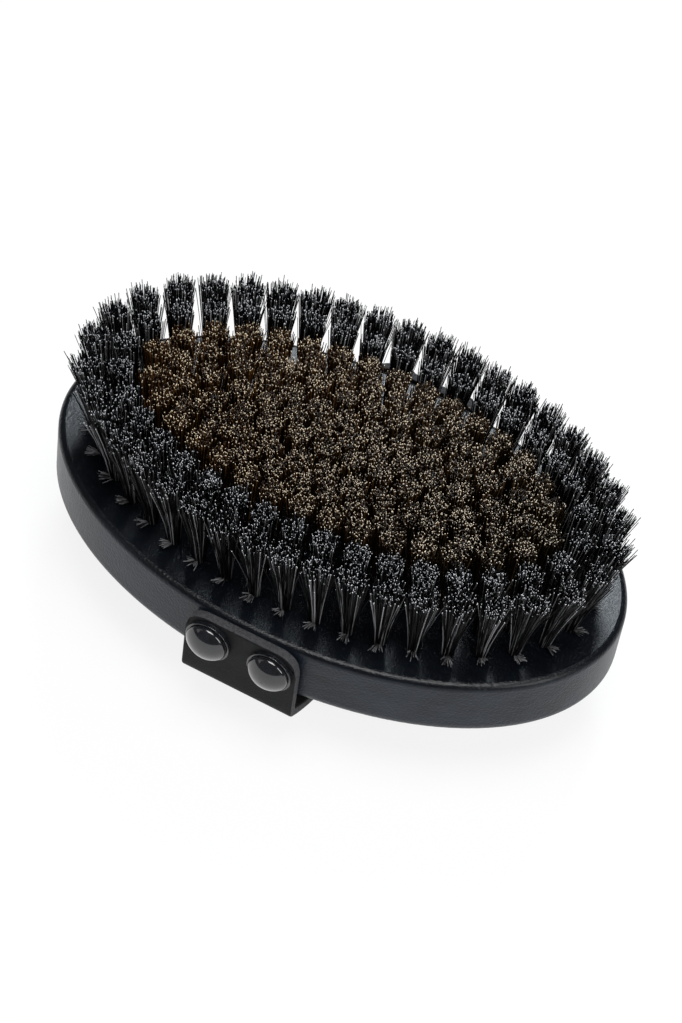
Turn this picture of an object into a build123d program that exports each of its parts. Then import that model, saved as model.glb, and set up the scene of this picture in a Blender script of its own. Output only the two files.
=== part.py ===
"""Oval body brush for grooming: a lacquered wooden board with two rings of black bristle
tufts round a ring and seven rows of bronze wire tufts, and a leather hand strap screwed to
its sides under snap-on dome caps. Millimetres, +Z along the bristles, origin under the
strap."""

import os
from itertools import combinations
from math import asin, atan2, cos, degrees, floor, hypot, pi, radians, sin, sqrt

from build123d import *

# ---- board: an ellipse in plan, tufts out of its top, strap across its back ----
board_length = 190.0
board_width = 116.5
board_thickness = 23.0
board_top_round = 2.2
board_back_round = 4.5

# ---- strap: a leather band, its ends flat on the board's sides, bowed under the back ----
strap_width = 38.0
strap_thickness = 3.0
strap_corner_radius = 7.0  # the cut corners of both ends
strap_drop = 4.0  # how far each end runs below the board before it folds under
strap_fold_slope = 38.0  # degrees below level just past the fold
strap_rest_half = 10.0  # half of the flat that the brush stands on
strap_fold_radius = 1.5  # inside the fold, and thickness more outside it
strap_gap = 0.3  # between the leather and the board's side
strap_edge_below_top = 0.2

# ---- strap fixings: wood screw, snap ring and dome cap, two at each end ----
fixing_edge_distance = 8.5  # from each screw to the strap's edge
fixing_below_top = 8.6
screw_length = 16.0
screw_core_radius = 1.2
screw_thread_radius = 1.75
screw_thread_pitch = 1.4
screw_thread_turns = 7
screw_tip_length = 2.6
screw_head_radius = 3.4
screw_head_height = 2.2
screw_recess_width = 0.9
screw_recess_length = 3.8
screw_recess_depth = 1.3
leather_clearance = 0.3  # round the screw, where it passes through leather and ring
wood_clearance = 0.05  # round the screw, in the wood that its thread has cut
ring_radius = 7.4
ring_thickness = 1.0
ring_lip_width = 0.5
ring_lip_height = 0.5
collar_head_gap = 0.6  # screw head to the inside of the collar
collar_height = 1.0
cap_wall = 0.9
cap_skirt_height = 1.5
cap_dome_height = 3.2
cap_shoulder_round = 1.2
cap_fit = 0.05  # collar to skirt
cap_lip_gap = 0.2  # skirt to the ring's lip

# ---- tufts: folded bundles, each held in a blind hole by a flat wire anchor ----
hole_depth = 11.0
hole_wall = 1.5  # least wood between the bottoms of neighbouring holes
tuft_fit = 0.05  # bundle to hole wall
tuft_height = 30.0  # above the board
outer_ring_inset = 13.2
ring_spacing = 8.5
outer_ring_count = 40
outer_ring_start = 0.5  # place of the first tuft, in pitches from +X
inner_ring_count = 36
inner_ring_start = 0.25
bronze_ring_count = 32
bronze_ring_start = 0.0
ring_lean = 6.5  # degrees away from the middle
tip_gap = 0.4  # least air between the tips of neighbouring tufts
bronze_rows_each_side = 3
bronze_row_fill = 0.889  # outermost row's offset over the half width of the rows' field
bronze_tufts_in_middle_row = 13
bronze_middle_fill = 0.95  # that row's length over the length of the rows' field
bronze_margin = 6.0  # from the bronze ring to the outermost tufts of the rows
anchor_thickness = 0.45
anchor_height = 1.8
anchor_above_bottom = 1.5
anchor_fit = 0.1  # each end to the hole wall
anchor_slack = 0.05  # round the anchor, in the bundle

# ---- what follows from them ----
half_length = board_length / 2
half_width = board_width / 2
strap_inner_y = half_width + strap_gap
strap_outer_y = strap_inner_y + strap_thickness
arch_radius = (strap_outer_y - strap_rest_half) / sin(radians(strap_fold_slope))
arch_inner_radius = arch_radius - strap_thickness
fold_height = arch_radius * (1 - cos(radians(strap_fold_slope)))
inner_fold_slope = asin((strap_inner_y - strap_rest_half) / arch_inner_radius)
inner_fold_height = arch_radius - arch_inner_radius * cos(inner_fold_slope)
board_bottom = fold_height + strap_drop
board_top = board_bottom + board_thickness
strap_top = board_top - strap_edge_below_top
fixing_height = board_top - fixing_below_top
fixing_spacing = max(strap_width - 2 * fixing_edge_distance, 2 * ring_radius + 1)
fixing_places = {
    "front_left": (-fixing_spacing / 2, -1),
    "front_right": (fixing_spacing / 2, -1),
    "back_left": (-fixing_spacing / 2, 1),
    "back_right": (fixing_spacing / 2, 1),
}
cap_radius = ring_radius - ring_lip_width - cap_lip_gap
collar_radius = cap_radius - cap_wall - cap_fit
cap_sphere_radius = (cap_radius**2 + cap_dome_height**2) / (2 * cap_dome_height)
inner_ring_inset = outer_ring_inset + ring_spacing
bronze_ring_inset = inner_ring_inset + ring_spacing
bronze_half_length = half_length - bronze_ring_inset - bronze_margin
bronze_half_width = half_width - bronze_ring_inset - bronze_margin
bronze_row_spacing = bronze_half_width * bronze_row_fill / bronze_rows_each_side
bronze_pitch = 2 * bronze_half_length * bronze_middle_fill / (bronze_tufts_in_middle_row - 1)


def save(piece, name):
    """Labels a finished piece and writes it under its node's name."""
    piece.label = name
    export_step(piece, f"parts/{name}.step")


def fixing_plane(place):
    """The strap's outer face at one fixing, its z pointing out of the brush."""
    x, side = fixing_places[place]
    return Plane(
        origin=(x, side * strap_outer_y, fixing_height),
        x_dir=(-side, 0, 0),
        z_dir=(0, side, 0),
    )


def ring_points(count, inset, start):
    """Points evenly spaced along an ellipse inset from the board's edge, from +X round,
    each with the direction in degrees that faces away from the ellipse there."""
    a, b = half_length - inset, half_width - inset
    steps = 2880
    along = [0.0]
    last = (a, 0.0)
    for i in range(1, steps + 1):
        angle = 2 * pi * i / steps
        here = (a * cos(angle), b * sin(angle))
        along.append(along[-1] + hypot(here[0] - last[0], here[1] - last[1]))
        last = here
    found, i = [], 0
    for k in range(count):
        wanted = along[-1] * (k + start) / count
        while along[i + 1] < wanted:
            i += 1
        share = (wanted - along[i]) / (along[i + 1] - along[i])
        angle = 2 * pi * (i + share) / steps
        outward = degrees(atan2(a * sin(angle), b * cos(angle)))
        found.append((a * cos(angle), b * sin(angle), outward))
    return found


def bronze_points(row):
    """Points of one straight row of the bronze field, odd rows half a pitch along."""
    y = row * bronze_row_spacing
    reach = bronze_half_length * sqrt(1 - (y / bronze_half_width) ** 2)
    shift = 0.5 * (row % 2)
    last = floor(reach / bronze_pitch - shift)
    steps = range(-last - (row % 2), last + 1)
    return [((i + shift) * bronze_pitch, y, 0.0) for i in steps]


def tuft_plane(x, y, outward, lean):
    """A tuft's own plane: its origin where it leaves the board, its z along the bundle and
    its x pointing away from the middle."""
    side = radians(outward)
    tilt = radians(lean)
    across = Vector(cos(side), sin(side), 0)
    return Plane(
        origin=(x, y, board_top),
        x_dir=across * cos(tilt) - Vector(0, 0, 1) * sin(tilt),
        z_dir=across * sin(tilt) + Vector(0, 0, 1) * cos(tilt),
    )


def tip_of(plane):
    """The middle of a tuft's tip."""
    return plane.origin + plane.z_dir * (tuft_height / plane.z_dir.Z)


def bottom_of(plane):
    """The middle of the bottom of a tuft's hole."""
    return plane.origin - plane.z_dir * hole_depth


def closest(points):
    """The least distance between any two of the points."""
    return min((a - b).length for a, b in combinations(points, 2))


def tuft_shape(tip_radius, lean):
    """One bundle on its own plane: a root for the hole, a flaring brush above it and a
    window under the fold for the anchor."""
    length = tuft_height / cos(radians(lean))
    with BuildPart() as bundle:
        with BuildSketch(Plane.XZ):
            with BuildLine():
                Polyline(
                    (0, -hole_depth),
                    (tuft_root_radius, -hole_depth),
                    (tuft_root_radius, 0),
                    (tip_radius, length),
                    (0, length),
                    close=True,
                )
            make_face()
        revolve(axis=Axis.Z)
        with BuildSketch(Plane.XY.offset(anchor_above_bottom - anchor_slack - hole_depth)):
            Rectangle(anchor_thickness + 2 * anchor_slack, 4 * hole_radius)
        extrude(amount=anchor_height + 2 * anchor_slack, mode=Mode.SUBTRACT)
    return bundle.part


def anchor_shape():
    """A flat wire anchor on a tuft's plane, lying across the hole from wall to wall."""
    with BuildPart() as anchor:
        with BuildSketch(Plane.XY.offset(anchor_above_bottom - hole_depth)):
            Rectangle(anchor_thickness, 2 * (hole_radius - anchor_fit))
        extrude(amount=anchor_height)
    return anchor.part


def copies(shape, planes):
    """The same shape placed on each plane, as separate solids of one node."""
    return Compound(children=[plane.location * shape for plane in planes])


# ---- places of the tufts ----
outer_places = ring_points(outer_ring_count, outer_ring_inset, outer_ring_start)
inner_places = ring_points(inner_ring_count, inner_ring_inset, inner_ring_start)
bronze_places = ring_points(bronze_ring_count, bronze_ring_inset, bronze_ring_start)
outer_planes = [tuft_plane(*place, ring_lean) for place in outer_places]
inner_planes = [tuft_plane(*place, ring_lean) for place in inner_places]
bronze_ring_planes = [tuft_plane(*place, ring_lean) for place in bronze_places]
bronze_rows = [
    [tuft_plane(*place, 0.0) for place in bronze_points(row)]
    for row in range(-bronze_rows_each_side, bronze_rows_each_side + 1)
]
bronze_row_planes = [plane for row in bronze_rows for plane in row]
leaning_planes = outer_planes + inner_planes + bronze_ring_planes
black_tips = [tip_of(plane) for plane in outer_planes + inner_planes]
bronze_tips = [tip_of(plane) for plane in bronze_ring_planes + bronze_row_planes]
hole_bottoms = [bottom_of(plane) for plane in leaning_planes + bronze_row_planes]
hole_radius = (closest(hole_bottoms) - hole_wall) / 2
tuft_root_radius = hole_radius - tuft_fit
black_tip_radius = (closest(black_tips) - tip_gap) / 2
bronze_tip_radius = (closest(bronze_tips) - tip_gap) / 2

# ---- board ----
with BuildPart() as board:
    with BuildSketch(Plane.XY.offset(board_bottom)):
        Ellipse(half_length, half_width)
    extrude(amount=board_thickness)
    fillet(board.edges().group_by(Axis.Z)[-1], board_top_round)
    fillet(board.edges().group_by(Axis.Z)[0], board_back_round)
    with BuildSketch(Plane.XY.offset(board_top)):
        with Locations(*[(plane.origin.X, plane.origin.Y) for plane in bronze_row_planes]):
            Circle(hole_radius)
    extrude(amount=-hole_depth, mode=Mode.SUBTRACT)
    with Locations(*[plane.location for plane in leaning_planes]):
        with Locations((0, 0, -hole_depth)):
            Cylinder(
                hole_radius,
                hole_depth + hole_radius,
                align=(Align.CENTER, Align.CENTER, Align.MIN),
                mode=Mode.SUBTRACT,
            )
    with Locations(*[fixing_plane(place).location for place in fixing_places]):
        Cylinder(
            screw_thread_radius + wood_clearance,
            2 * (screw_length - ring_thickness + wood_clearance),
            mode=Mode.SUBTRACT,
        )

# ---- strap ----
with BuildPart() as strap:
    with BuildSketch(Plane.YZ):
        with BuildLine():
            outer_foot = Line((0, 0), (strap_rest_half, 0))
            outer_arch = CenterArc(
                (strap_rest_half, arch_radius), arch_radius, -90, strap_fold_slope
            )
            outer_side = Line(outer_arch @ 1, (strap_outer_y, strap_top))
            top_edge = Line(outer_side @ 1, (strap_inner_y, strap_top))
            inner_side = Line(top_edge @ 1, (strap_inner_y, inner_fold_height))
            inner_arch = CenterArc(
                (strap_rest_half, arch_radius),
                arch_inner_radius,
                degrees(inner_fold_slope) - 90,
                -degrees(inner_fold_slope),
            )
            inner_foot = Line(inner_arch @ 1, (0, strap_thickness))
            mirror(about=Plane.YZ)
        make_face()
    extrude(amount=strap_width / 2, both=True)
    corners = strap.edges().filter_by(Axis.Y).group_by(Axis.Z)[-1]
    fillet(corners, strap_corner_radius)
    folds = strap.edges().filter_by(Axis.X)
    inner_folds = folds.filter_by(lambda edge: abs(edge.center().Z - inner_fold_height) < 0.01)
    fillet(inner_folds, strap_fold_radius)
    folds = strap.edges().filter_by(Axis.X)
    outer_folds = folds.filter_by(lambda edge: abs(edge.center().Z - fold_height) < 0.01)
    fillet(outer_folds, strap_fold_radius + strap_thickness)
    with Locations(*[fixing_plane(place).location for place in fixing_places]):
        Cylinder(
            screw_thread_radius + leather_clearance,
            3 * strap_thickness,
            mode=Mode.SUBTRACT,
        )

# ---- fixings, each on a plane of its own, z out of the brush from the leather ----
with BuildPart() as screw:
    with BuildSketch(Plane.XZ):
        with BuildLine():
            head_top = ring_thickness + screw_head_height
            tip = ring_thickness - screw_length
            shank_end = tip + screw_tip_length
            thread = [(screw_core_radius, shank_end)]
            for turn in range(screw_thread_turns):
                low = shank_end + turn * screw_thread_pitch
                thread.append((screw_thread_radius, low + 0.3 * screw_thread_pitch))
                thread.append((screw_core_radius, low + 0.6 * screw_thread_pitch))
                thread.append((screw_core_radius, low + screw_thread_pitch))
            Polyline(
                (0, tip),
                *thread,
                (screw_thread_radius, thread[-1][1] + 0.3 * screw_thread_pitch),
                (screw_thread_radius, ring_thickness),
                (screw_head_radius, ring_thickness),
                (screw_head_radius, ring_thickness + 0.45 * screw_head_height),
                (0.6 * screw_head_radius, head_top),
                (0, head_top),
                close=True,
            )
        make_face()
    revolve(axis=Axis.Z)
    with BuildSketch(Plane.XY.offset(head_top)):
        Rectangle(screw_recess_length, screw_recess_width)
        Rectangle(screw_recess_width, screw_recess_length)
    extrude(amount=-screw_recess_depth, mode=Mode.SUBTRACT)

with BuildPart() as snap_ring:
    Cylinder(ring_radius, ring_thickness, align=(Align.CENTER, Align.CENTER, Align.MIN))
    with BuildSketch(Plane.XY.offset(ring_thickness)):
        Circle(ring_radius)
        Circle(ring_radius - ring_lip_width, mode=Mode.SUBTRACT)
    extrude(amount=ring_lip_height)
    with BuildSketch(Plane.XY.offset(ring_thickness)):
        Circle(collar_radius)
        Circle(screw_head_radius + collar_head_gap, mode=Mode.SUBTRACT)
    extrude(amount=collar_height)
    with BuildSketch():
        Circle(screw_thread_radius + leather_clearance)
    extrude(amount=ring_thickness, mode=Mode.SUBTRACT)
    rim = snap_ring.edges().filter_by(GeomType.CIRCLE).group_by(SortBy.RADIUS)[-1]
    fillet(rim.group_by(Axis.Z)[-1], 0.2)

with BuildPart() as cap:
    with BuildSketch(Plane.XZ) as cap_profile:
        with BuildLine():
            skirt_top = ring_thickness + cap_skirt_height
            sphere_height = skirt_top + cap_dome_height - cap_sphere_radius
            shell_radius = cap_sphere_radius - cap_wall
            shell_foot = sphere_height + sqrt(shell_radius**2 - (cap_radius - cap_wall) ** 2)
            outer_edge = Line((cap_radius, ring_thickness), (cap_radius, skirt_top))
            outer_angle = degrees(asin(cap_radius / cap_sphere_radius))
            inner_angle = degrees(asin((cap_radius - cap_wall) / shell_radius))
            outer_dome = CenterArc(
                (0, sphere_height), cap_sphere_radius, 90 - outer_angle, outer_angle
            )
            axis_line = Line(outer_dome @ 1, (0, sphere_height + shell_radius))
            inner_dome = CenterArc((0, sphere_height), shell_radius, 90, -inner_angle)
            inner_edge = Line(
                (cap_radius - cap_wall, shell_foot), (cap_radius - cap_wall, ring_thickness)
            )
            Line(inner_edge @ 1, outer_edge @ 0)
        make_face()
        shoulder = cap_profile.vertices().group_by(Axis.X)[-1].sort_by(Axis.Y)[-1]
        fillet(shoulder, cap_shoulder_round)
    revolve(axis=Axis.Z)

# ---- tufts and their anchors ----
black_tuft = tuft_shape(black_tip_radius, ring_lean)
bronze_ring_tuft = tuft_shape(bronze_tip_radius, ring_lean)
bronze_row_tuft = tuft_shape(bronze_tip_radius, 0.0)
anchor = anchor_shape()
rings = {
    "outer_tufts": (black_tuft, outer_planes),
    "inner_tufts": (black_tuft, inner_planes),
    "bronze_ring": (bronze_ring_tuft, bronze_ring_planes),
}

# ---- files ----
os.makedirs("parts", exist_ok=True)

board.part.label = "brush_back"
export_step(board.part, "parts/brush_back.step")
strap.part.label = "hand_strap"
export_step(strap.part, "parts/hand_strap.step")

for place in fixing_places:
    seat = fixing_plane(place).location
    save(seat * screw.part, f"{place}_screw")
    save(seat * snap_ring.part, f"{place}_ring")
    save(seat * cap.part, f"{place}_cap")

for ring, (shape, planes) in rings.items():
    for number, quarter in enumerate(("back_right", "back_left", "front_left", "front_right")):
        first = number * len(planes) // 4
        last = (number + 1) * len(planes) // 4
        save(copies(shape, planes[first:last]), f"{ring}_{quarter}")

for number, row in enumerate(bronze_rows, 1):
    save(copies(bronze_row_tuft, row), f"bronze_tufts_row_{number}")

save(copies(anchor, outer_planes), "outer_anchors")
save(copies(anchor, inner_planes), "inner_anchors")
save(copies(anchor, bronze_ring_planes + bronze_row_planes), "bronze_anchors")
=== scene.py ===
# Oval body brush on its leather strap: lacquered board, black bristle rings, bronze centre.
import math
import random

import bmesh
import bpy
from mathutils import Matrix, Vector


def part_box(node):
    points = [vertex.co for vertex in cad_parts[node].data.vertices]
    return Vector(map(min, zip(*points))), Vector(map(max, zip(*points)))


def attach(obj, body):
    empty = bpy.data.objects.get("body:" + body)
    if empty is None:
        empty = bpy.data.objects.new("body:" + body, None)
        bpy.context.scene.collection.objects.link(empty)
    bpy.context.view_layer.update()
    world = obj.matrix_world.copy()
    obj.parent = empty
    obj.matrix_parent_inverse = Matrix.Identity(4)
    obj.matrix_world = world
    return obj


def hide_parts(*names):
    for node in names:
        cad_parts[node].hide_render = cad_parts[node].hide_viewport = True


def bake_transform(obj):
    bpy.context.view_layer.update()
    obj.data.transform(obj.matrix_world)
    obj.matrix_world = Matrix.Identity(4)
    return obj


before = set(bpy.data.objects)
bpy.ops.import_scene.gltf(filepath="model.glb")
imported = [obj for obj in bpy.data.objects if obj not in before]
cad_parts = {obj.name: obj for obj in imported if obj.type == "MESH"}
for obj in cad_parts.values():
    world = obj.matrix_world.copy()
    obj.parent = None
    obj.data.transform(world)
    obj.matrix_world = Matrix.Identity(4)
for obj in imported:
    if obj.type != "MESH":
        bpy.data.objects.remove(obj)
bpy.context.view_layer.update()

mm = 0.001
print("frame loaded:", len(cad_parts), "nodes")

boardHigh = Vector(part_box("brush_back")[1])
strapHigh = Vector(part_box("hand_strap")[1])
boardTop = boardHigh.z
boardHalfLength = boardHigh.x


class Sock:
    # wraps a node's output so that shader maths reads as an expression
    def __init__(self, shader, out):
        self.shader = shader
        self.out = out

    def maths(self, operation, a, b, clamp=False):
        node = self.shader.node("Math", dict(operation=operation, use_clamp=clamp), {0: a, 1: b})
        return node[0]

    def __add__(self, other):
        return self.maths("ADD", self, other)

    def __radd__(self, other):
        return self.maths("ADD", other, self)

    def __sub__(self, other):
        return self.maths("SUBTRACT", self, other)

    def __rsub__(self, other):
        return self.maths("SUBTRACT", other, self)

    def __mul__(self, other):
        return self.maths("MULTIPLY", self, other)

    def __rmul__(self, other):
        return self.maths("MULTIPLY", other, self)

    def clamped(self):
        return self.maths("ADD", self, 0.0, clamp=True)


class Shader:
    # a material with one Principled shader and a short way to add any other node
    def __init__(self, name):
        self.material = bpy.data.materials.new(name)
        self.material.use_nodes = True
        self.tree = self.material.node_tree
        self.principled = self.tree.nodes["Principled BSDF"]

    def node(self, kind, settings=None, values=None):
        made = self.tree.nodes.new("ShaderNode" + kind)
        for key, value in (settings or {}).items():
            if key == "stops":
                ramp = made.color_ramp
                while len(ramp.elements) < len(value):
                    ramp.elements.new(0.5)
                for element, (place, colour) in zip(ramp.elements, value):
                    element.position = place
                    element.color = (*colour, 1)
            else:
                setattr(made, key, value)
        for key, value in (values or {}).items():
            self.put(made.inputs[key], value)
        return [Sock(self, out) for out in made.outputs]

    def put(self, socket, value):
        if isinstance(value, Sock):
            self.tree.links.new(value.out, socket)
        else:
            socket.default_value = value

    def set(self, **values):
        for key, value in values.items():
            self.put(self.principled.inputs[key.replace("_", " ")], value)

    def place(self):
        # 3 is the Object output
        return self.node("TexCoord")[3]

    def axes(self):
        return self.node("SeparateXYZ", None, {0: self.place()})

    def noise(self, scale, detail=3.0, roughness=0.5, vector=None):
        values = {"Scale": scale, "Detail": detail, "Roughness": roughness}
        values["Vector"] = vector or self.place()
        return self.node("TexNoise", None, values)[0]

    def ramp(self, factor, stops):
        return self.node("ValToRGB", dict(stops=stops), {0: factor})[0]

    def mix(self, factor, a, b):
        # 6 and 7 are the two colours of a Mix node set to RGBA
        return self.node("Mix", dict(data_type="RGBA"), {0: factor, 6: a, 7: b})[2]

    def bump(self, height, strength, distance):
        values = {"Height": height, "Strength": strength, "Distance": distance}
        self.set(Normal=self.node("Bump", None, values)[0])


lacquerLook = {
    # the top's colours are darker as painted shade and a dark reflection of the tufts, the side's
    # lighter as a painted reflection of the bright surroundings; dark to worn within each is real
    # grain and wear
    "shadedTopDark": (0.0012, 0.0016, 0.0026),
    "shadedTopWorn": (0.0040, 0.0056, 0.0085),
    "litSideDark": (0.0035, 0.0055, 0.0095),
    "litSideWorn": (0.0210, 0.0285, 0.0420),
    "roughness": 0.17,
    "peelScale": 1300,
    "peelDepth": 0.00032,
    "grainScale": (30, 260, 260),
}


def lacquerMaterial(look):
    s = Shader("lacquer")
    stretched = s.node("Mapping", None, {"Vector": s.place(), "Scale": look["grainScale"]})[0]
    grain = s.noise(1.0, 4, 0.6, stretched)
    cloud = s.noise(38, 3, 0.6)
    shade = (grain * 0.45 + cloud * 0.75 - 0.1).clamped()
    # 1 is the Normal output, so this is 1 on the top and 0 on the side and underneath
    up = s.node("SeparateXYZ", None, {0: s.node("NewGeometry")[1]})[2].clamped()
    # the side takes the lighter colours of painted reflection and the top the darker colours of
    # painted shade
    side = s.ramp(shade, [(0.3, look["litSideDark"]), (0.75, look["litSideWorn"])])
    top = s.ramp(shade, [(0.3, look["shadedTopDark"]), (0.75, look["shadedTopWorn"])])
    s.set(Base_Color=s.mix((up * 1.6).clamped(), side, top))
    s.set(Roughness=look["roughness"] + cloud * 0.14 + (1 - up) * 0.14)
    peel = s.noise(look["peelScale"], 2, 0.5)
    s.bump(peel + grain * 0.4, 0.7, look["peelDepth"])
    s.set(Specular_IOR_Level=0.2, Coat_Weight=0.12, Coat_Roughness=0.2)
    return s.material


enamelLook = {
    "dark": (0.004, 0.004, 0.005),
    "dusty": (0.010, 0.011, 0.014),
    "roughness": 0.07,
}


def enamelMaterial(look):
    s = Shader("enamel")
    dust = s.noise(700, 2, 0.5)
    s.set(Base_Color=s.ramp(dust, [(0.3, look["dark"]), (0.8, look["dusty"])]))
    s.set(Roughness=look["roughness"] + dust * 0.06, Specular_IOR_Level=0.6)
    s.bump(s.noise(260, 1, 0.4), 0.05, 0.0001)
    s.set(Coat_Weight=0.6, Coat_Roughness=0.04)
    return s.material


steelLook = {
    "dull": (0.42, 0.42, 0.43),
    "bright": (0.66, 0.66, 0.68),
    "roughness": 0.28,
}


def steelMaterial(look):
    s = Shader("zincSteel")
    smear = s.noise(420, 3, 0.6)
    s.set(Base_Color=s.ramp(smear, [(0.2, look["dull"]), (0.8, look["bright"])]))
    s.set(Metallic=1.0, Roughness=look["roughness"] + smear * 0.2)
    return s.material


leatherLook = {
    "dark": (0.0030, 0.0030, 0.0036),
    "light": (0.0090, 0.0094, 0.0108),
    "cellScale": 1150,
    "grainDepth": 0.00010,
}


def leatherMaterial(look):
    s = Shader("leather")
    cells = s.node("TexVoronoi", None, {"Vector": s.place(), "Scale": look["cellScale"]})[0]
    wrinkle = s.noise(190, 4, 0.62)
    shade = (cells * 0.5 + wrinkle * 0.7 - 0.1).clamped()
    s.set(Base_Color=s.ramp(shade, [(0.2, look["dark"]), (0.85, look["light"])]))
    s.set(Roughness=0.46 + wrinkle * 0.24)
    s.bump(cells * 0.8 + wrinkle * 0.6, 0.45, look["grainDepth"])
    s.set(Specular_IOR_Level=0.16)
    return s.material


cutEdgeLook = {
    "dark": (0.008, 0.008, 0.009),
    "light": (0.075, 0.075, 0.08),
    "roughness": 0.85,
    "grainDepth": 0.0003,
}


def cutEdgeMaterial(look):
    s = Shader("cutLeather")
    fluff = s.noise(1500, 4, 0.7)
    s.set(Base_Color=s.ramp(fluff, [(0.25, look["dark"]), (0.8, look["light"])]))
    s.set(Roughness=look["roughness"])
    s.bump(fluff, 0.8, look["grainDepth"])
    return s.material


# stops of colour over a fibre's tone: "strand" down its length and the cut-end stops on its cut
# tip; here the brightest strand stop and the bright cut-end stops are painted glints
blackFibreLook = {
    "strand": [
        (0.0, (0.001, 0.001, 0.001)),
        (0.78, (0.003, 0.003, 0.004)),
        # the brightest fibres turn grey, a painted glint along them
        (1.0, (0.38, 0.38, 0.39)),
    ],
    "cutEndGlint": [
        (0.0, (0.001, 0.001, 0.002)),
        (0.6, (0.006, 0.007, 0.009)),
        # the brightest cut tips are near white, a painted glint where they face the lights
        (0.86, (0.88, 0.90, 0.93)),
    ],
    "patchiness": 0.6,
    "patchLift": 0.05,
    "roughness": 0.5,
}
# the warm colours are at the left end and the olive ones at the right
bronzeFibreLook = {
    "warmStrand": [
        (0.0, (0.012, 0.005, 0.001)),
        (0.75, (0.060, 0.023, 0.004)),
        (1.0, (0.34, 0.15, 0.04)),
    ],
    "oliveStrand": [
        (0.0, (0.006, 0.004, 0.002)),
        (0.75, (0.030, 0.018, 0.007)),
        (1.0, (0.18, 0.12, 0.06)),
    ],
    # the bright cut-end stops below are a painted glint on the wire tips
    "warmCutEndGlint": [
        (0.0, (0.014, 0.005, 0.001)),
        (0.58, (0.075, 0.028, 0.005)),
        (0.78, (1.0, 0.83, 0.56)),
    ],
    "oliveCutEndGlint": [
        (0.0, (0.008, 0.005, 0.002)),
        (0.56, (0.040, 0.024, 0.009)),
        (0.76, (1.0, 0.87, 0.70)),
    ],
    "patchiness": 0.95,
    "metallic": 0.4,
    "roughness": 0.36,
}
patchScale = 150
tipStart = 0.985
tipSharpness = 70


def fibreTone(s):
    # each fibre's own random shade, and a mask that is 1 on its cut tip only
    tone = s.node("Attribute", dict(attribute_name="tone"))[2]
    along = s.node("Attribute", dict(attribute_name="along"))[2]
    return tone, ((along - tipStart) * tipSharpness).clamped()


def blackFibreMaterial(look):
    s = Shader("blackBristle")
    tone, tip = fibreTone(s)
    patch = tone + (s.noise(patchScale, 2, 0.5) - 0.5) * look["patchiness"] + look["patchLift"]
    strand = s.ramp(tone, look["strand"])
    cutEndGlint = s.ramp(patch, look["cutEndGlint"])
    # the cut tip takes the cut-end colours, whose bright stops are a painted glint
    s.set(Base_Color=s.mix(tip, strand, cutEndGlint), Roughness=look["roughness"])
    s.set(Specular_IOR_Level=0.12)
    return s.material


def bronzeFibreMaterial(look, halfLength):
    s = Shader("bronzeWire")
    tone, tip = fibreTone(s)
    across = (s.axes()[0] * (0.6 / halfLength) + 0.5).clamped()
    patch = tone + (s.noise(patchScale, 2, 0.5) - 0.5) * look["patchiness"]
    strand = s.mix(across, s.ramp(tone, look["warmStrand"]), s.ramp(tone, look["oliveStrand"]))
    cutEndGlint = s.mix(across, s.ramp(patch, look["warmCutEndGlint"]), s.ramp(patch, look["oliveCutEndGlint"]))
    s.set(Base_Color=s.mix(tip, strand, cutEndGlint))
    # the cut tip is not metallic, so its painted glint shows as plain bright colour
    s.set(Metallic=look["metallic"] - look["metallic"] * tip)
    s.set(Roughness=look["roughness"] + tone * 0.12, Specular_IOR_Level=0.3)
    return s.material


lacquer = lacquerMaterial(lacquerLook)
enamel = enamelMaterial(enamelLook)
steel = steelMaterial(steelLook)
leather = leatherMaterial(leatherLook)
cutLeather = cutEdgeMaterial(cutEdgeLook)
blackFibre = blackFibreMaterial(blackFibreLook)
bronzeFibre = bronzeFibreMaterial(bronzeFibreLook, boardHalfLength)
print("materials made")


def coatNode(name, material):
    held = bpy.data.objects[name]
    held.data.materials.clear()
    held.data.materials.append(material)


coatNode("brush_back", lacquer)
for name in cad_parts:
    if name.endswith(("_cap", "_ring")):
        coatNode(name, enamel)
    elif name.endswith(("_screw", "_anchors")):
        coatNode(name, steel)
print("board, caps, rings and screws coated")


def addPiece(name, bm, materials):
    mesh = bpy.data.meshes.new(name)
    bm.to_mesh(mesh)
    bm.free()
    for material in materials:
        mesh.materials.append(material)
    piece = bpy.data.objects.new(name, mesh)
    bpy.context.scene.collection.objects.link(piece)
    return piece


# lengths in mm; "levels" are the heights of a fibre's sections, as shares of its length
blackTuft = {
    "fibres": 290,
    "fibreRadius": 0.125,
    "jitter": 0.2,
    "tipShare": (0.8, 1.12),
    "curve": 1.2,
    "leanCurve": 1.6,
    "leanShare": (0.1, 1.1),
    "spread": 1.26,
    "lean": 1.7,
    "levels": (0.34, 0.68, 1.0),
    "buried": 1.0,
    "ragged": 1.4,
    "longest": 1.4,
    "wander": 1.0,
    "strays": 0.2,
    "strayReach": 2.2,
    "taper": 1.15,
    "seed": 11,
}
innerTuft = dict(blackTuft, spread=1.06, wander=0.6, strays=0.06, lean=1.2, seed=37)
bronzeTuft = {
    "fibres": 215,
    "fibreRadius": 0.14,
    "jitter": 0.2,
    "tipShare": (0.8, 1.12),
    "curve": 1.2,
    "leanCurve": 1.6,
    "leanShare": (0.1, 1.1),
    "spread": 1.08,
    "lean": 3.0,
    "levels": (0.55, 1.0),
    "buried": 1.0,
    "ragged": 0.8,
    "longest": 0.6,
    "wander": 0.6,
    "strays": 0.05,
    "strayReach": 2.5,
    "taper": 1.1,
    "seed": 23,
}
bundleVariants = 6
plantSeeds = {"outer": 40, "inner": 50, "bronzeRing": 60, "bronzeRows": 70}
goldenAngle = math.pi * (3 - math.sqrt(5))
toneShuffle = 7.3  # turns a fibre's shade into a second number between 0 and 1


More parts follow.
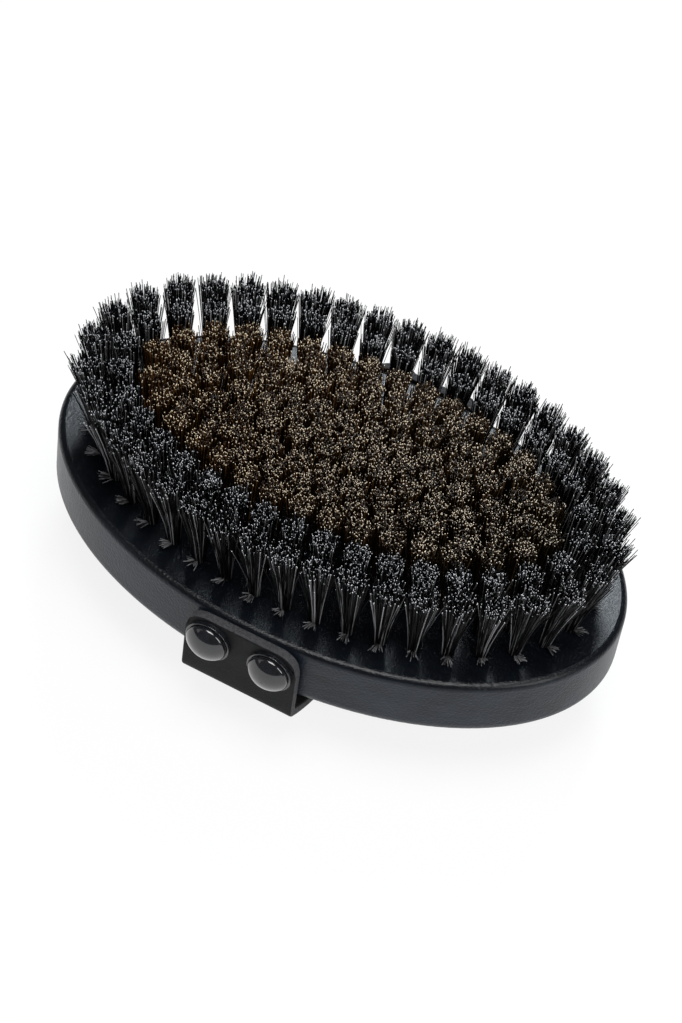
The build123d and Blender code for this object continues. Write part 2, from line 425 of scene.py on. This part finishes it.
def bundleMesh(name, look, rootRadius, tipRadius, length, seed):
    # one tuft on its own axis, standing on the board at z = 0
    rng = random.Random(seed)
    bm = bmesh.new()
    along = bm.verts.layers.float.new("along")
    tone = bm.verts.layers.float.new("tone")
    owner = bm.verts.layers.int.new("owner")
    fibres = []
    count = look["fibres"]
    thick = look["fibreRadius"] * mm
    for i in range(count):
        share = math.sqrt((i + 0.5) / count)
        angle = i * goldenAngle + rng.uniform(-look["jitter"], look["jitter"])
        outward = Vector((math.cos(angle), math.sin(angle), 0))
        root = outward * (rootRadius - thick) * share
        tipShare = min(1.0, share * rng.uniform(*look["tipShare"]))
        tip = outward * tipRadius * look["spread"] * tipShare
        turn = rng.uniform(0, 2 * math.pi)
        drift = Vector((math.cos(turn), math.sin(turn), 0)) * rng.gauss(0, look["wander"]) * mm
        reach = length + rng.gauss(0, look["ragged"]) * mm
        if rng.random() < look["strays"]:
            drift *= look["strayReach"]
        fibres.append((root, tip + drift, min(reach, length + look["longest"] * mm)))
        place = root + Vector((0, 0, -look["buried"] * mm))
        made = bmesh.ops.create_circle(
            bm, cap_ends=True, segments=3, radius=thick,
            matrix=Matrix.Translation(place) @ Matrix.Rotation(rng.uniform(0, 2), 4, "Z"),
        )
        shade = rng.random()
        for vert in made["verts"]:
            vert[owner] = i
            vert[tone] = shade
    tops = list(bm.faces)
    last = 0.0
    for level in look["levels"]:
        grown = bmesh.ops.extrude_face_region(bm, geom=tops, use_keep_orig=last == 0.0)
        tops = [item for item in grown["geom"] if isinstance(item, bmesh.types.BMFace)]
        for item in grown["geom"]:
            if not isinstance(item, bmesh.types.BMVert):
                continue
            root, tip, reach = fibres[item[owner]]
            before = fibreCentre(root, tip, reach, last, look)
            after = fibreCentre(root, tip, reach, level, look)
            narrow = look["taper"] if level == 1.0 else 1.0
            item.co = after + (item.co - before) * narrow
            item[along] = level
        last = level
    bmesh.ops.recalc_face_normals(bm, faces=bm.faces)
    mesh = bpy.data.meshes.new(name)
    bm.to_mesh(mesh)
    bm.free()
    return mesh


def fibreCentre(root, tip, reach, level, look):
    if level == 0.0:
        return root + Vector((0, 0, -look["buried"] * mm))
    flat = root.lerp(tip, level ** look["curve"])
    return Vector((flat.x, flat.y, reach * level))


def tuftAxes(node, tipBand=2 * mm, rootBand=1 * mm):
    # foot on the board, tip, direction and both radii of each CAD tuft of a node
    bm = bmesh.new()
    bm.from_mesh(bpy.data.objects[node].data)
    bmesh.ops.remove_doubles(bm, verts=bm.verts, dist=1e-6)
    found, seen = [], set()
    for start in bm.verts:
        if start in seen:
            continue
        island, edge = [], [start]
        seen.add(start)
        while edge:
            vert = edge.pop()
            island.append(vert.co.copy())
            for link in vert.link_edges:
                other = link.other_vert(vert)
                if other not in seen:
                    seen.add(other)
                    edge.append(other)
        high = max(co.z for co in island)
        low = min(co.z for co in island)
        tips = [co for co in island if co.z > high - tipBand]
        roots = [co for co in island if co.z < low + rootBand]
        tip = sum(tips, Vector()) / len(tips)
        root = sum(roots, Vector()) / len(roots)
        rise = (tip - root).normalized()
        foot = root + rise * ((boardTop - root.z) / rise.z)
        radius = max((co - tip).length for co in tips)
        footRadius = max((co - root).cross(rise).length for co in roots)
        found.append((foot, tip, rise, radius, footRadius))
    bm.free()
    return sorted(found, key=lambda item: (round(item[0].x, 5), round(item[0].y, 5)))


stubs = {
    "count": 26,
    "length": (3.4, 6.4),
    "radius": 0.19,
    "taper": 0.6,
    "lean": (48, 76),
    "fan": 24,
    "outward": (0.3, 0.9),
    "sunk": 1.0,
    # only the bright end of the strand colours, a painted glint on these black ends
    "tone": (0.78, 1.0),
}


def addStubs(bm, foot, away, footRadius, rng, layers):
    # short folded ends that poke out round the outer side of a tuft's foot
    along, tone = layers
    for _ in range(stubs["count"]):
        swing = math.radians(rng.uniform(-stubs["fan"], stubs["fan"]))
        tilt = math.radians(rng.uniform(*stubs["lean"]))
        out = Matrix.Rotation(swing, 3, "Z") @ away
        rise = (out * math.sin(tilt) + Vector((0, 0, math.cos(tilt)))).normalized()
        length = rng.uniform(*stubs["length"]) * mm
        middle = foot + out * footRadius * rng.uniform(*stubs["outward"])
        middle += rise * (length / 2 - stubs["sunk"] * mm)
        turn = Vector((0, 0, 1)).rotation_difference(rise).to_matrix().to_4x4()
        made = bmesh.ops.create_cone(
            bm, cap_ends=True, segments=3, radius1=stubs["radius"] * mm,
            radius2=stubs["radius"] * stubs["taper"] * mm, depth=length,
            matrix=Matrix.Translation(middle) @ turn,
        )
        shade = rng.uniform(*stubs["tone"])
        for vert in made["verts"]:
            vert[tone] = shade
            vert[along] = 0.5


def openSide(tip, spacing=8.5 * mm, most=1.5):
    # points from a tuft's crowded side to its open side; 0 where neighbours are even
    pull = Vector()
    for other in allTips:
        apart = Vector((tip.x - other.x, tip.y - other.y, 0))
        if 0.1 * mm < apart.length < 2 * spacing:
            pull += apart * (spacing**2 / apart.length**3)
    return pull if pull.length < most else pull * (most / pull.length)


def plantTufts(node, bundles, look, material, slot, seed, withStubs=False):
    rng = random.Random(seed)
    bm = bmesh.new()
    along = bm.verts.layers.float.new("along")
    tone = bm.verts.layers.float.new("tone")
    leastShare, moreShare = look["leanShare"]
    for foot, tip, rise, _, footRadius in tuftAxes(node):
        bundle = bundles[rng.randrange(len(bundles))]
        planted = set(bm.verts)
        bm.from_mesh(bundle)
        fresh = [vert for vert in bm.verts if vert not in planted]
        turn = Vector((0, 0, 1)).rotation_difference(rise).to_matrix().to_4x4()
        spin = Matrix.Rotation(rng.uniform(0, 2 * math.pi), 4, "Z")
        place = Matrix.Translation(foot) @ turn @ spin
        bmesh.ops.transform(bm, matrix=place, verts=fresh)
        push = openSide(tip) * look["lean"] * mm
        for vert in fresh:
            share = leastShare + moreShare * (vert[tone] * toneShuffle % 1.0)
            vert.co += push * share * vert[along] ** look["leanCurve"]
        if withStubs:
            away = Vector((rise.x, rise.y, 0)).normalized()
            addStubs(bm, foot, away, footRadius, rng, (along, tone))
    piece = addPiece("fibres_" + node, bm, [material])
    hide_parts(node)
    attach(piece, "brush")


def bundleSet(name, look, node, variants):
    foot, tip, _, radius, footRadius = tuftAxes(node)[0]
    length = (tip - foot).length
    return [
        bundleMesh(f"{name}{i}", look, footRadius, radius, length, look["seed"] + i)
        for i in range(variants)
    ]


quarters = ("back_left", "back_right", "front_left", "front_right")
tuftNodes = [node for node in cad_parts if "_tufts_" in node or "_ring_" in node]
allTips = [tip for node in tuftNodes for _, tip, *_ in tuftAxes(node)]
blackBundles = bundleSet("blackBundle", blackTuft, "outer_tufts_back_left", bundleVariants)
bronzeBundles = bundleSet("bronzeBundle", bronzeTuft, "bronze_tufts_row_4", bundleVariants)
innerBundles = bundleSet("innerBundle", innerTuft, "outer_tufts_back_left", bundleVariants)
black = (blackBundles, blackTuft, blackFibre, "black_bristle")
inner = (innerBundles, innerTuft, blackFibre, "black_bristle")
bronze = (bronzeBundles, bronzeTuft, bronzeFibre, "bronze_bristle")
for number, quarter in enumerate(quarters):
    plantTufts("outer_tufts_" + quarter, *black, plantSeeds["outer"] + number, withStubs=True)
    plantTufts("inner_tufts_" + quarter, *inner, plantSeeds["inner"] + number)
    plantTufts("bronze_ring_" + quarter, *bronze, plantSeeds["bronzeRing"] + number)
for number in range(1, 8):
    plantTufts(f"bronze_tufts_row_{number}", *bronze, plantSeeds["bronzeRows"] + number)
for mesh in blackBundles + innerBundles + bronzeBundles:
    bpy.data.meshes.remove(mesh)
print("tufts planted")


# lengths in mm, angles in degrees
strap = {
    "thickness": 3.0,
    "restHalf": 10.0,
    "slope": 38.0,
    "foldRadius": 4.5,
    "cornerRadius": 7.0,
    "edgeRound": 0.45,
    "acrossSteps": 38,
    "tabSteps": 16,
    "foldSteps": 6,
    "archSteps": 22,
    "flatSteps": 4,
    "holeRadius": 2.05,
    "crease": 1.2,  # radians; only edges sharper than this are rounded
    "cutBand": 3.2,
}
fuzz = {
    "count": 420,
    "length": (0.35, 1.1),
    "radius": (0.07, 0.03),
    "tilt": 0.5,
    "sunk": 0.3,
    "margin": 0.2,
    "cornerShare": 0.3,
    "seed": 77,
}


def strapPiece(look):
    half = strapHigh.x
    outerY = strapHigh.y
    top = strapHigh.z
    rest = look["restHalf"] * mm
    fold = look["foldRadius"] * mm
    arch = (outerY - rest) / math.sin(math.radians(look["slope"]))
    foldZ = arch - math.sqrt((arch - fold) ** 2 - (outerY - fold - rest) ** 2)
    archAngle = math.asin((outerY - fold - rest) / (arch - fold))
    foldAngle = math.pi / 2 - archAngle
    bm = bmesh.new()
    steps = look["acrossSteps"]
    row = [bm.verts.new((half * (2 * i / steps - 1), -outerY, top)) for i in range(steps + 1)]
    edge = [bm.edges.new(pair) for pair in zip(row, row[1:])]

    def run(edge, move, count):
        for _ in range(count):
            grown = bmesh.ops.extrude_edge_only(bm, edges=edge)["geom"]
            verts = [item for item in grown if isinstance(item, bmesh.types.BMVert)]
            bmesh.ops.translate(bm, vec=move / count, verts=verts)
            edge = [item for item in grown if isinstance(item, bmesh.types.BMEdge)]
        return edge

    def turn(edge, centre, angle, count):
        grown = bmesh.ops.spin(
            bm, geom=edge, cent=centre, axis=(1, 0, 0), angle=angle, steps=count,
            use_duplicate=False,
        )["geom_last"]
        return [item for item in grown if isinstance(item, bmesh.types.BMEdge)]

    edge = run(edge, Vector((0, 0, foldZ - top)), look["tabSteps"])
    edge = turn(edge, (0, fold - outerY, foldZ), foldAngle, look["foldSteps"])
    edge = turn(edge, (0, -rest, arch), archAngle, look["archSteps"])
    edge = run(edge, Vector((0, 2 * rest, 0)), look["flatSteps"])
    edge = turn(edge, (0, rest, arch), archAngle, look["archSteps"])
    edge = turn(edge, (0, outerY - fold, foldZ), foldAngle, look["foldSteps"])
    edge = run(edge, Vector((0, 0, top - foldZ)), look["tabSteps"])

    # round the cut corners of both ends
    corner = look["cornerRadius"] * mm
    for vert in bm.verts:
        over = abs(vert.co.x) - (half - corner)
        if vert.co.z > foldZ and over > 0:
            roof = top - corner + math.sqrt(max(0.0, corner**2 - over**2))
            vert.co.z = foldZ + (vert.co.z - foldZ) * (roof - foldZ) / (top - foldZ)
    bmesh.ops.recalc_face_normals(bm, faces=bm.faces)
    flat = [face for face in bm.faces if abs(face.calc_center_median().y) < rest]
    if flat[0].normal.z > 0:
        bmesh.ops.reverse_faces(bm, faces=bm.faces)
    bmesh.ops.solidify(bm, geom=bm.faces, thickness=look["thickness"] * mm)
    bmesh.ops.recalc_face_normals(bm, faces=bm.faces)
    rims = [
        rim for rim in bm.edges
        if len(rim.link_faces) == 2 and rim.calc_face_angle(0) > look["crease"]
    ]
    bmesh.ops.bevel(
        bm, geom=rims, offset=look["edgeRound"] * mm, affect="EDGES", segments=2,
        profile=0.5, material=-1, offset_type="OFFSET",
    )
    for face in bm.faces:
        face.smooth = True
        sideways = abs(face.normal.x) > 0.7
        outside = abs(face.calc_center_median().y) > outerY - look["cutBand"] * mm
        endOn = face.normal.z > 0.6 and outside
        face.material_index = 1 if sideways or endOn else 0
    piece = addPiece("handStrap", bm, [leather, cutLeather])
    punch = bmesh.new()
    across = Matrix.Rotation(math.pi / 2, 4, "X")
    for side in (-1, 1):
        low, high = (Vector(c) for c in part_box(f"front_{'left' if side < 0 else 'right'}_ring"))
        middle = (low + high) / 2
        bmesh.ops.create_cone(
            punch, cap_ends=True, segments=24, radius1=look["holeRadius"] * mm,
            radius2=look["holeRadius"] * mm, depth=3 * outerY,
            matrix=Matrix.Translation((middle.x, 0, middle.z)) @ across,
        )
    punchMesh = bpy.data.meshes.new("punch")
    punch.to_mesh(punchMesh)
    punch.free()
    punchObject = bpy.data.objects.new("punch", punchMesh)
    bpy.context.scene.collection.objects.link(punchObject)
    cut = piece.modifiers.new("holes", "BOOLEAN")
    cut.operation = "DIFFERENCE"
    cut.solver = "EXACT"
    cut.object = punchObject
    bpy.context.view_layer.update()
    cutPiece = piece.evaluated_get(bpy.context.evaluated_depsgraph_get())
    holed = bpy.data.meshes.new_from_object(cutPiece)
    piece.modifiers.clear()
    piece.data = holed
    bpy.data.objects.remove(punchObject)
    bpy.data.meshes.remove(punchMesh)
    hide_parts("hand_strap")
    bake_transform(piece)


def strapFuzz(look, fluff):
    # loose fibres along the cut top edge of both ends
    rng = random.Random(fluff["seed"])
    bm = bmesh.new()
    half = strapHigh.x - look["cornerRadius"] * mm * fluff["cornerShare"]
    corner = look["cornerRadius"] * mm
    margin = fluff["margin"]
    for i in range(fluff["count"]):
        side = 1 if i % 2 else -1
        x = rng.uniform(-half, half)
        over = max(0.0, abs(x) - (strapHigh.x - corner))
        roof = strapHigh.z - corner + math.sqrt(max(0.0, corner**2 - over**2))
        y = side * (strapHigh.y - rng.uniform(margin, look["thickness"] - margin) * mm)
        length = rng.uniform(*fluff["length"]) * mm
        rise = Vector((rng.gauss(0, fluff["tilt"]), rng.gauss(0, fluff["tilt"]), 1)).normalized()
        turn = Vector((0, 0, 1)).rotation_difference(rise).to_matrix().to_4x4()
        middle = Vector((x, y, roof - fluff["sunk"] * mm)) + rise * length / 2
        bmesh.ops.create_cone(
            bm, cap_ends=True, segments=3, radius1=fluff["radius"][0] * mm,
            radius2=fluff["radius"][1] * mm, depth=length,
            matrix=Matrix.Translation(middle) @ turn,
        )
    piece = addPiece("strapFuzz", bm, [cutLeather])
    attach(piece, "brush")


strapPiece(strap)
strapFuzz(strap, fuzz)
print("strap made")


floorLook = {
    "grey": 0.86,
    "glow": 0.86,  # share of its own white in what the camera sees; the rest takes shadows
    "halfSize": 6.0,
}


def floorMaterial(look):
    s = Shader("floor")
    grey = look["grey"]
    s.set(Base_Color=(grey, grey, grey, 1), Roughness=0.9, Specular_IOR_Level=0.1)
    # 0, 3 and 6 are the camera, glossy and transmission rays
    path = s.node("LightPath")
    seen = (path[0] + path[3] + path[6]).clamped()
    glow = s.node("Emission", None, {"Color": (1, 1, 1, 1), "Strength": 1.0})[0]
    shader = Sock(s, s.principled.outputs[0])
    mixed = s.node("MixShader", None, {0: seen * look["glow"], 1: shader, 2: glow})[0]
    s.tree.links.new(mixed.out, s.tree.nodes["Material Output"].inputs[0])
    return s.material


floorBm = bmesh.new()
bmesh.ops.create_grid(floorBm, x_segments=1, y_segments=1, size=floorLook["halfSize"])
floorMesh = bpy.data.meshes.new("floor")
floorBm.to_mesh(floorMesh)
floorBm.free()
floorMesh.materials.append(floorMaterial(floorLook))
floor = bpy.data.objects.new("floor", floorMesh)
bpy.context.scene.collection.objects.link(floor)
print("floor laid")

# each light's direction from the brush, distance and size in m, and power in W
lights = {
    "backPanel": ((-0.364, 1.072, 1.25), 1.69, (0.6, 0.3), 20),
    "frontLeft": ((-0.8, -0.6, 0.5), 1.5, (0.5, 0.8), 0.8),
    "right": ((0.9, -0.3, 0.6), 1.5, (0.5, 0.9), 8),
    "overhead": ((0.05, -0.1, 1.0), 1.7, (1.0, 1.0), 27),
}
panelTurn = -17
panelColour = (0.85, 0.93, 1.0)
worldColour = (0.92, 0.95, 1.0)
worldStrength = 0.14


def softbox(name, direction, distance, size, power, aim=(0, 0, 0.05)):
    light = bpy.data.lights.new(name, "AREA")
    light.shape = "RECTANGLE"
    light.size, light.size_y = size
    light.energy = power
    lamp = bpy.data.objects.new(name, light)
    towards = Vector(direction).normalized()
    lamp.location = Vector(aim) + towards * distance
    lamp.rotation_euler = towards.to_track_quat("Z", "Y").to_euler()
    bpy.context.scene.collection.objects.link(lamp)
    return lamp


lamps = {name: softbox(name, *values) for name, values in lights.items()}
# the panel hangs level, for the band of gloss on the board's right end
lamps["backPanel"].rotation_euler = (0, 0, math.radians(panelTurn))
lamps["backPanel"].data.color = panelColour

world = bpy.data.worlds.new("studio")
bpy.context.scene.world = world
world.use_nodes = True
sky = world.node_tree.nodes["Background"]
sky.inputs[0].default_value = (*worldColour, 1)
sky.inputs[1].default_value = worldStrength
print("lights hung")

# angles in degrees, distance and aim in mm; "aim" is on the board's top
view = {
    "azimuth": 21.27,
    "elevation": 49.58,
    "roll": 9.18,
    "distance": 920.9,
    "aim": (1.8, -2.9),
    "lens": 105.57,
    "sensor": 36,
    "farthest": 20,
}
cameraData = bpy.data.cameras.new("camera")
cameraData.lens = view["lens"]
cameraData.sensor_width = view["sensor"]
cameraData.clip_end = view["farthest"]
camera = bpy.data.objects.new("camera", cameraData)
stance = (
    Matrix.Rotation(math.radians(view["azimuth"]), 4, "Z")
    @ Matrix.Rotation(math.radians(90 - view["elevation"]), 4, "X")
    @ Matrix.Rotation(math.radians(view["roll"]), 4, "Z")
)
aim = Vector((view["aim"][0] * mm, view["aim"][1] * mm, boardTop))
camera.matrix_world = Matrix.Translation(aim + stance.col[2].xyz * view["distance"] * mm) @ stance
bpy.context.scene.collection.objects.link(camera)
bpy.context.scene.camera = camera
bpy.context.scene.view_settings.view_transform = "Standard"

print("scene ready")
